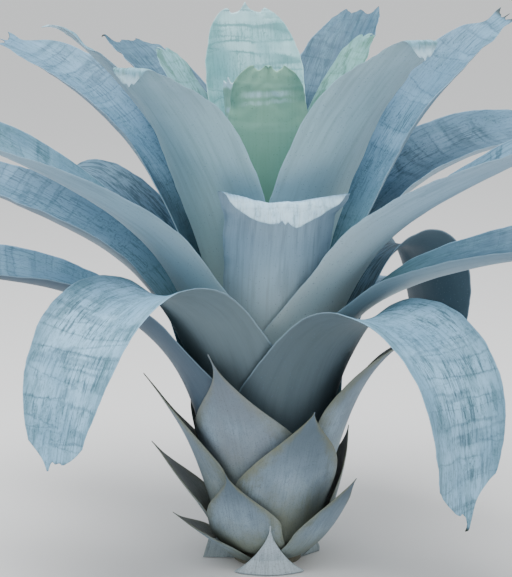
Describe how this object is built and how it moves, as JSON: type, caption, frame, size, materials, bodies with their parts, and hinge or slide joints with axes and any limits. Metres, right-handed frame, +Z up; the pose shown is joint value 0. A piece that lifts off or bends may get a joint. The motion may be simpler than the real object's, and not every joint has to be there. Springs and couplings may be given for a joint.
{
  "type": "bromeliad plant",
  "caption": "Large silver-blue bromeliad rosette: a vase of short pointed scale leaves under long channelled strap leaves, some curled over, on a short stem cut flat at the ground.",
  "frame": {"origin": "middle of the flat cut under the stem, at ground level", "axes": "+Z up along the stem, -Y towards the viewer of the picture (the front), +X to that viewer's right"},
  "size_m": [0.9552, 0.7897, 0.7335],
  "materials": {
    "stem": "dull brown, fibrous",
    "scale_leaf": "grey-blue waxy bloom with an olive tinge",
    "strap_leaf": "silvery blue waxy bloom over blue-green, finely streaked",
    "heart_leaf": "pale green under a thin bloom, with faint cross bands"
  },
  "bodies": {
    "root": {"stem": "stem", "scale_leaf_01": "scale_leaf", "scale_leaf_02": "scale_leaf", "scale_leaf_03": "scale_leaf", "scale_leaf_04": "scale_leaf", "scale_leaf_05": "scale_leaf", "scale_leaf_06": "scale_leaf", "scale_leaf_07": "scale_leaf", "scale_leaf_08": "scale_leaf", "scale_leaf_09": "scale_leaf", "scale_leaf_10": "scale_leaf", "scale_leaf_11": "scale_leaf", "scale_leaf_12": "scale_leaf", "scale_leaf_13": "scale_leaf", "scale_leaf_14": "scale_leaf", "strap_leaf_15": "strap_leaf", "strap_leaf_16": "strap_leaf", "strap_leaf_17": "strap_leaf", "strap_leaf_18": "strap_leaf", "strap_leaf_19": "strap_leaf", "strap_leaf_20": "strap_leaf", "strap_leaf_21": "strap_leaf", "strap_leaf_22": "strap_leaf", "strap_leaf_23": "strap_leaf", "strap_leaf_24": "strap_leaf", "strap_leaf_25": "strap_leaf", "strap_leaf_26": "strap_leaf", "strap_leaf_27": "strap_leaf", "strap_leaf_28": "strap_leaf", "strap_leaf_29": "strap_leaf", "strap_leaf_30": "strap_leaf", "strap_leaf_31": "strap_leaf", "strap_leaf_32": "strap_leaf", "strap_leaf_33": "strap_leaf", "strap_leaf_34": "strap_leaf", "strap_leaf_35": "strap_leaf", "strap_leaf_36": "strap_leaf", "strap_leaf_37": "strap_leaf", "strap_leaf_38": "strap_leaf", "heart_leaf_39": "heart_leaf", "heart_leaf_40": "heart_leaf", "heart_leaf_41": "heart_leaf"}
  },
  "joints": []
}
